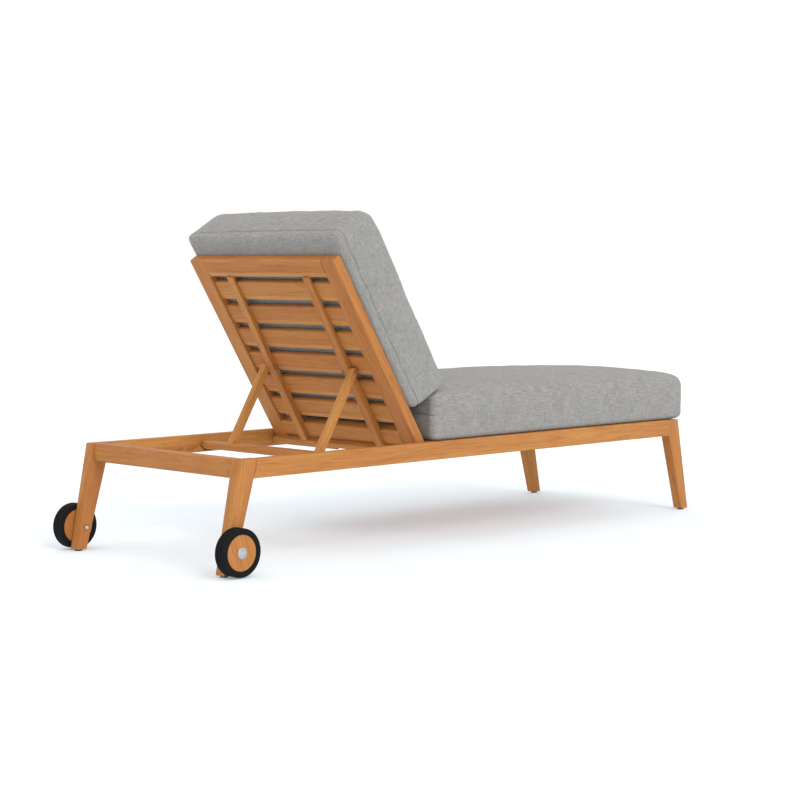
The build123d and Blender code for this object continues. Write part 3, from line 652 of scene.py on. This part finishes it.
def inflate(piece, held):
    """Blow a cushion up as cloth, held by a weight at each point."""
    before = read_points(piece)
    group = piece.vertex_groups.new(name="held")
    rounded = np.round(held, 2)
    for level in np.unique(rounded):
        if level > 0:
            members = [int(member) for member in np.nonzero(rounded == level)[0]]
            group.add(members, float(level), "REPLACE")
    cloth = piece.modifiers.new("cloth", "CLOTH")
    settings = cloth.settings
    settings.quality = 6
    settings.mass = 0.25
    settings.tension_stiffness = 25
    settings.compression_stiffness = 25
    settings.shear_stiffness = 12
    settings.bending_stiffness = 6
    settings.tension_damping = 10
    settings.compression_damping = 10
    settings.air_damping = 4
    settings.use_pressure = True
    settings.uniform_pressure_force = cloth_pressure
    settings.vertex_group_mass = "held"
    settings.pin_stiffness = 8
    settings.shrink_min = -0.012
    settings.effector_weights.gravity = 0
    cloth.collision_settings.use_collision = False
    scene = bpy.context.scene
    scene.frame_start = 1
    scene.frame_end = cloth_frames
    for number in range(1, cloth_frames + 1):
        scene.frame_set(number)
    after = read_points(piece.evaluated_get(bpy.context.evaluated_depsgraph_get()))
    piece.modifiers.remove(cloth)
    piece.vertex_groups.remove(group)
    scene.frame_set(1)
    moved = after - before
    distance = np.linalg.norm(moved, axis=1, keepdims=True)
    write_points(piece, before + moved * np.minimum(1, cloth_cap / np.maximum(distance, tiny)))


def subdivide(piece):
    """Add one level of smooth subdivision to an object's mesh."""
    modifier = piece.modifiers.new("fine", "SUBSURF")
    modifier.levels = 1
    modifier.render_levels = 1
    solved = piece.evaluated_get(bpy.context.evaluated_depsgraph_get())
    mesh = bpy.data.meshes.new_from_object(solved)
    piece.modifiers.clear()
    piece.data = mesh
    mesh.polygons.foreach_set("use_smooth", [True] * len(mesh.polygons))


# The forms of the two cushions. rear and front are the start and end of the face that lies on
# the boards and of the face opposite it. seam_length is how much of the cushion, back from
# its end, shows its seam.
seat_form = {
    "name": "seat_cushion_cover",
    "width": 0.7,
    "rear": (-1.057453, 0.205),
    "front": (-1.057453, 0.205),
    "thickness": 0.150,
    "edges": (0.150, 0.153, 0.148),
    "crowns": (0.163, 0.180, 0.165),
    "rear_corner": (0.030, 0.022),
    "front_corner": (0.034, 0.022),
    "upper": (0.034, 0.020),
    "lower": (0.025, 0.017),
    "low_bulge": 0.0,
    "side_draw": 0.003,
    "end_draw": 0.004,
    "step": 0.0125,
    "seam": 0.079,
    "seam_length": 0.03,
}
back_form = {
    "name": "back_cushion_cover",
    "width": 0.69,
    "rear": (0.130, 0.738),
    "front": (0.108, 0.742),
    "thickness": 0.155,
    "edges": (0.163, 0.170, 0.174),
    "crowns": (0.172, 0.183, 0.187),
    "rear_corner": (0.018, 0.016),
    "front_corner": (0.034, 0.050),
    "upper": (0.026, 0.055),
    "lower": (0.020, 0.020),
    "low_bulge": 0.006,
    "side_draw": 0.005,
    "end_draw": 0.001,
    "step": 0.0125,
    "seam": 0.025,
    "seam_length": 1.0,
}


seam_fade = 0.02


def seam_strength(form, points):
    """How deep the seam is drawn in at each point, from 0 to 1."""
    return fade(points[:, 1] - form["rear"][1], -form["seam_length"], seam_fade)


groove_depth, groove_width = 0.0034, 0.0020
pucker_depth, pucker_width = 0.0005, 0.012
# Two rows of puckers along the seam, the second one weaker and shifted
first_pitch, second_pitch = 0.021, 0.034
second_share, second_shift = 0.7, 1.3


def sew(form, points, normals):
    """Draw a groove in along the seam, with small puckers beside it."""
    start, end = form["rear"]
    share_x = np.clip(points[:, 0] / form["width"] * 2, -1, 1)
    share_y = np.clip((points[:, 1] - start) / (end - start) * 2 - 1, -1, 1)
    off = points[:, 2] - top_height(form, share_x, share_y) * form["seam"] / form["thickness"]
    groove = np.exp(-((off / groove_width) ** 2))
    beside = np.exp(-((off / pucker_width) ** 2))
    turn = 2 * math.pi * (points[:, 0] + points[:, 1])
    second = second_share * np.sin(turn / second_pitch + second_shift)
    puckers = np.sin(turn / first_pitch) + second
    depth = groove_depth * groove + pucker_depth * beside * puckers
    sides = 1 - np.abs(normals[:, 2])
    return points - normals * (depth * sides * seam_strength(form, points))[:, None]


# Depth, size and seed of the broad and the small unevenness of a cushion's faces
dents = ((0.0009, 0.16, 5), (0.0004, 0.06, 6))
# The height over the underside at which the dents have their full depth
dent_height = 0.03
# How near a point of the plain box is to the seam's height to be on the seam
on_seam = 0.0005


def cushion(form, base, body, node, finish, above=None):
    """A cushion in its place: its form, blown up as cloth, with its seam and unevenness."""
    points, faces, flat = cushion_mesh(form)
    piece = mesh_object(form["name"], points, faces)
    held = np.where(flat[:, 2] <= 0, 1.0, near_edges(flat))
    sewn = np.abs(flat[:, 2] - form["seam"]) < on_seam
    inflate(piece, np.where(sewn, seam_strength(form, points), held))
    subdivide(piece)
    points = read_points(piece)
    normals = read_points(piece, "normal")
    uneven = sum(depth * smooth_noise(points, size, seed) for depth, size, seed in dents)
    uneven *= fade(points[:, 2], 0, dent_height)
    points = sew(form, points + normals * uneven[:, None], normals)
    points[:, 2] = np.maximum(points[:, 2], 0.0)
    write_points(piece, points)
    piece.data.transform(base)
    if above is not None:
        press_down(piece, above)
    piece.data.update()
    dress(piece, finish)
    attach(piece, body)
    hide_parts(node)
    return piece


# Where the back cushion may lie on the seat cushion: from this far along, looked for upwards
# from this height and within this half width, with a small gap left between the two
lap_start = 0.05
lap_floor = 0.33
lap_half_width = 0.33
lap_gap = 0.0012


def press_down(piece, above):
    """Press a piece down wherever another piece lies on it."""
    points = read_points(piece)
    corners = [vertex.co for vertex in above.data.vertices]
    lying = BVHTree.FromPolygons(corners, [face.vertices for face in above.data.polygons])
    for index in np.nonzero(points[:, 1] > lap_start)[0]:
        x, y, z = points[index]
        x = max(-lap_half_width, min(lap_half_width, x))
        found = lying.ray_cast(Vector((x, y, lap_floor)), Vector((0, 0, 1)))[0]
        if found is not None:
            points[index, 2] = min(z, found.z - lap_gap)
    write_points(piece, points)


# The seat cushion lies on the slats, and the back cushion lies before the hinge's axis
seat_height = 0.3203
hinge = Vector((0, 0.229847, 0.3035))
before_hinge = 0.0163
seat_base = Matrix.Translation((0, 0, seat_height))
back_axes = Matrix((Vector((1, 0, 0)), up_back, back_front)).transposed().to_4x4()
back_base = Matrix.Translation(hinge + back_front * before_hinge) @ back_axes
back_weave = fabric("back_weave", back_lean)
back_cover = cushion(back_form, back_base, "backrest", "back_cushion", back_weave)
seat_weave = fabric("seat_weave", 0.0)
cushion(seat_form, seat_base, "base", "seat_cushion", seat_weave, back_cover)


# Floor, light and camera

floor_half = 30.0
floor_corners = [(-1, -1), (1, -1), (1, 1), (-1, 1)]
floor = mesh_object(
    "floor", [(x * floor_half, y * floor_half, 0) for x, y in floor_corners], [[0, 1, 2, 3]]
)
floor_dark = (0.715, 0.755, 0.78, 1)
floor_pale = (0.735, 0.775, 0.80, 1)
floor_paint = Shader("floor_paint")
floor_place = floor_paint.node("TexCoord").outputs["Object"]
mottle = floor_paint.noise(floor_place, detail=3.0, scale=3.0)
# The faint cool glow takes the wood's warmth out of the shadow
dress(
    floor,
    floor_paint.finish(
        Base_Color=floor_paint.mix(mottle, floor_dark, floor_pale),
        Roughness=0.9,
        Specular_IOR_Level=0.1,
        Emission_Color=(0.88, 1.0, 1.1, 1),
        Emission_Strength=0.235,
    ),
)

world = bpy.data.worlds.new("studio")
bpy.context.scene.world = world
world.use_nodes = True
sky = world.node_tree.nodes["Background"]
sky.inputs["Color"].default_value = (1, 1, 1, 1)
sky.inputs["Strength"].default_value = 1.0

# One soft lamp from the camera's side, in shares of the sky's light
lamp_share = 0.36
lamp_direction = Vector((0.8, -0.15, -0.58))
lamp = bpy.data.lights.new("soft_key", "SUN")
lamp.energy = lamp_share * math.pi
lamp.angle = math.radians(27)
fitting = bpy.data.objects.new("soft_key", lamp)
fitting.rotation_euler = lamp_direction.to_track_quat("-Z", "Y").to_euler()
bpy.context.scene.collection.objects.link(fitting)

# The camera stands where the photograph's straight edges place it
camera_place = (-4.29236465, 4.287197, 0.848955)
yaw, pitch, roll = 3.92739925, 0.0710057727, 0.00110667996
focal_pixels, frame_pixels = 1881.77985, 800
level_part = math.cos(pitch)
right = Vector((math.cos(yaw), math.sin(yaw), 0))
forward = Vector((-math.sin(yaw) * level_part, math.cos(yaw) * level_part, -math.sin(pitch)))
upward = right.cross(forward)
camera = bpy.data.cameras.new("camera")
camera.sensor_width = 36
camera.lens = focal_pixels / frame_pixels * camera.sensor_width
camera.clip_end = 100
camera.shift_x = -0.00044
camera.shift_y = 0.00044
eye = bpy.data.objects.new("camera", camera)
turned_right = math.cos(roll) * right + math.sin(roll) * upward
turned_up = -math.sin(roll) * right + math.cos(roll) * upward
axes = Matrix((turned_right, turned_up, -forward)).transposed().to_4x4()
eye.matrix_world = Matrix.Translation(camera_place) @ axes
bpy.context.scene.collection.objects.link(eye)
bpy.context.scene.camera = eye
bpy.context.scene.view_settings.view_transform = "Standard"
bpy.context.scene.view_settings.look = "None"

bpy.context.view_layer.update()
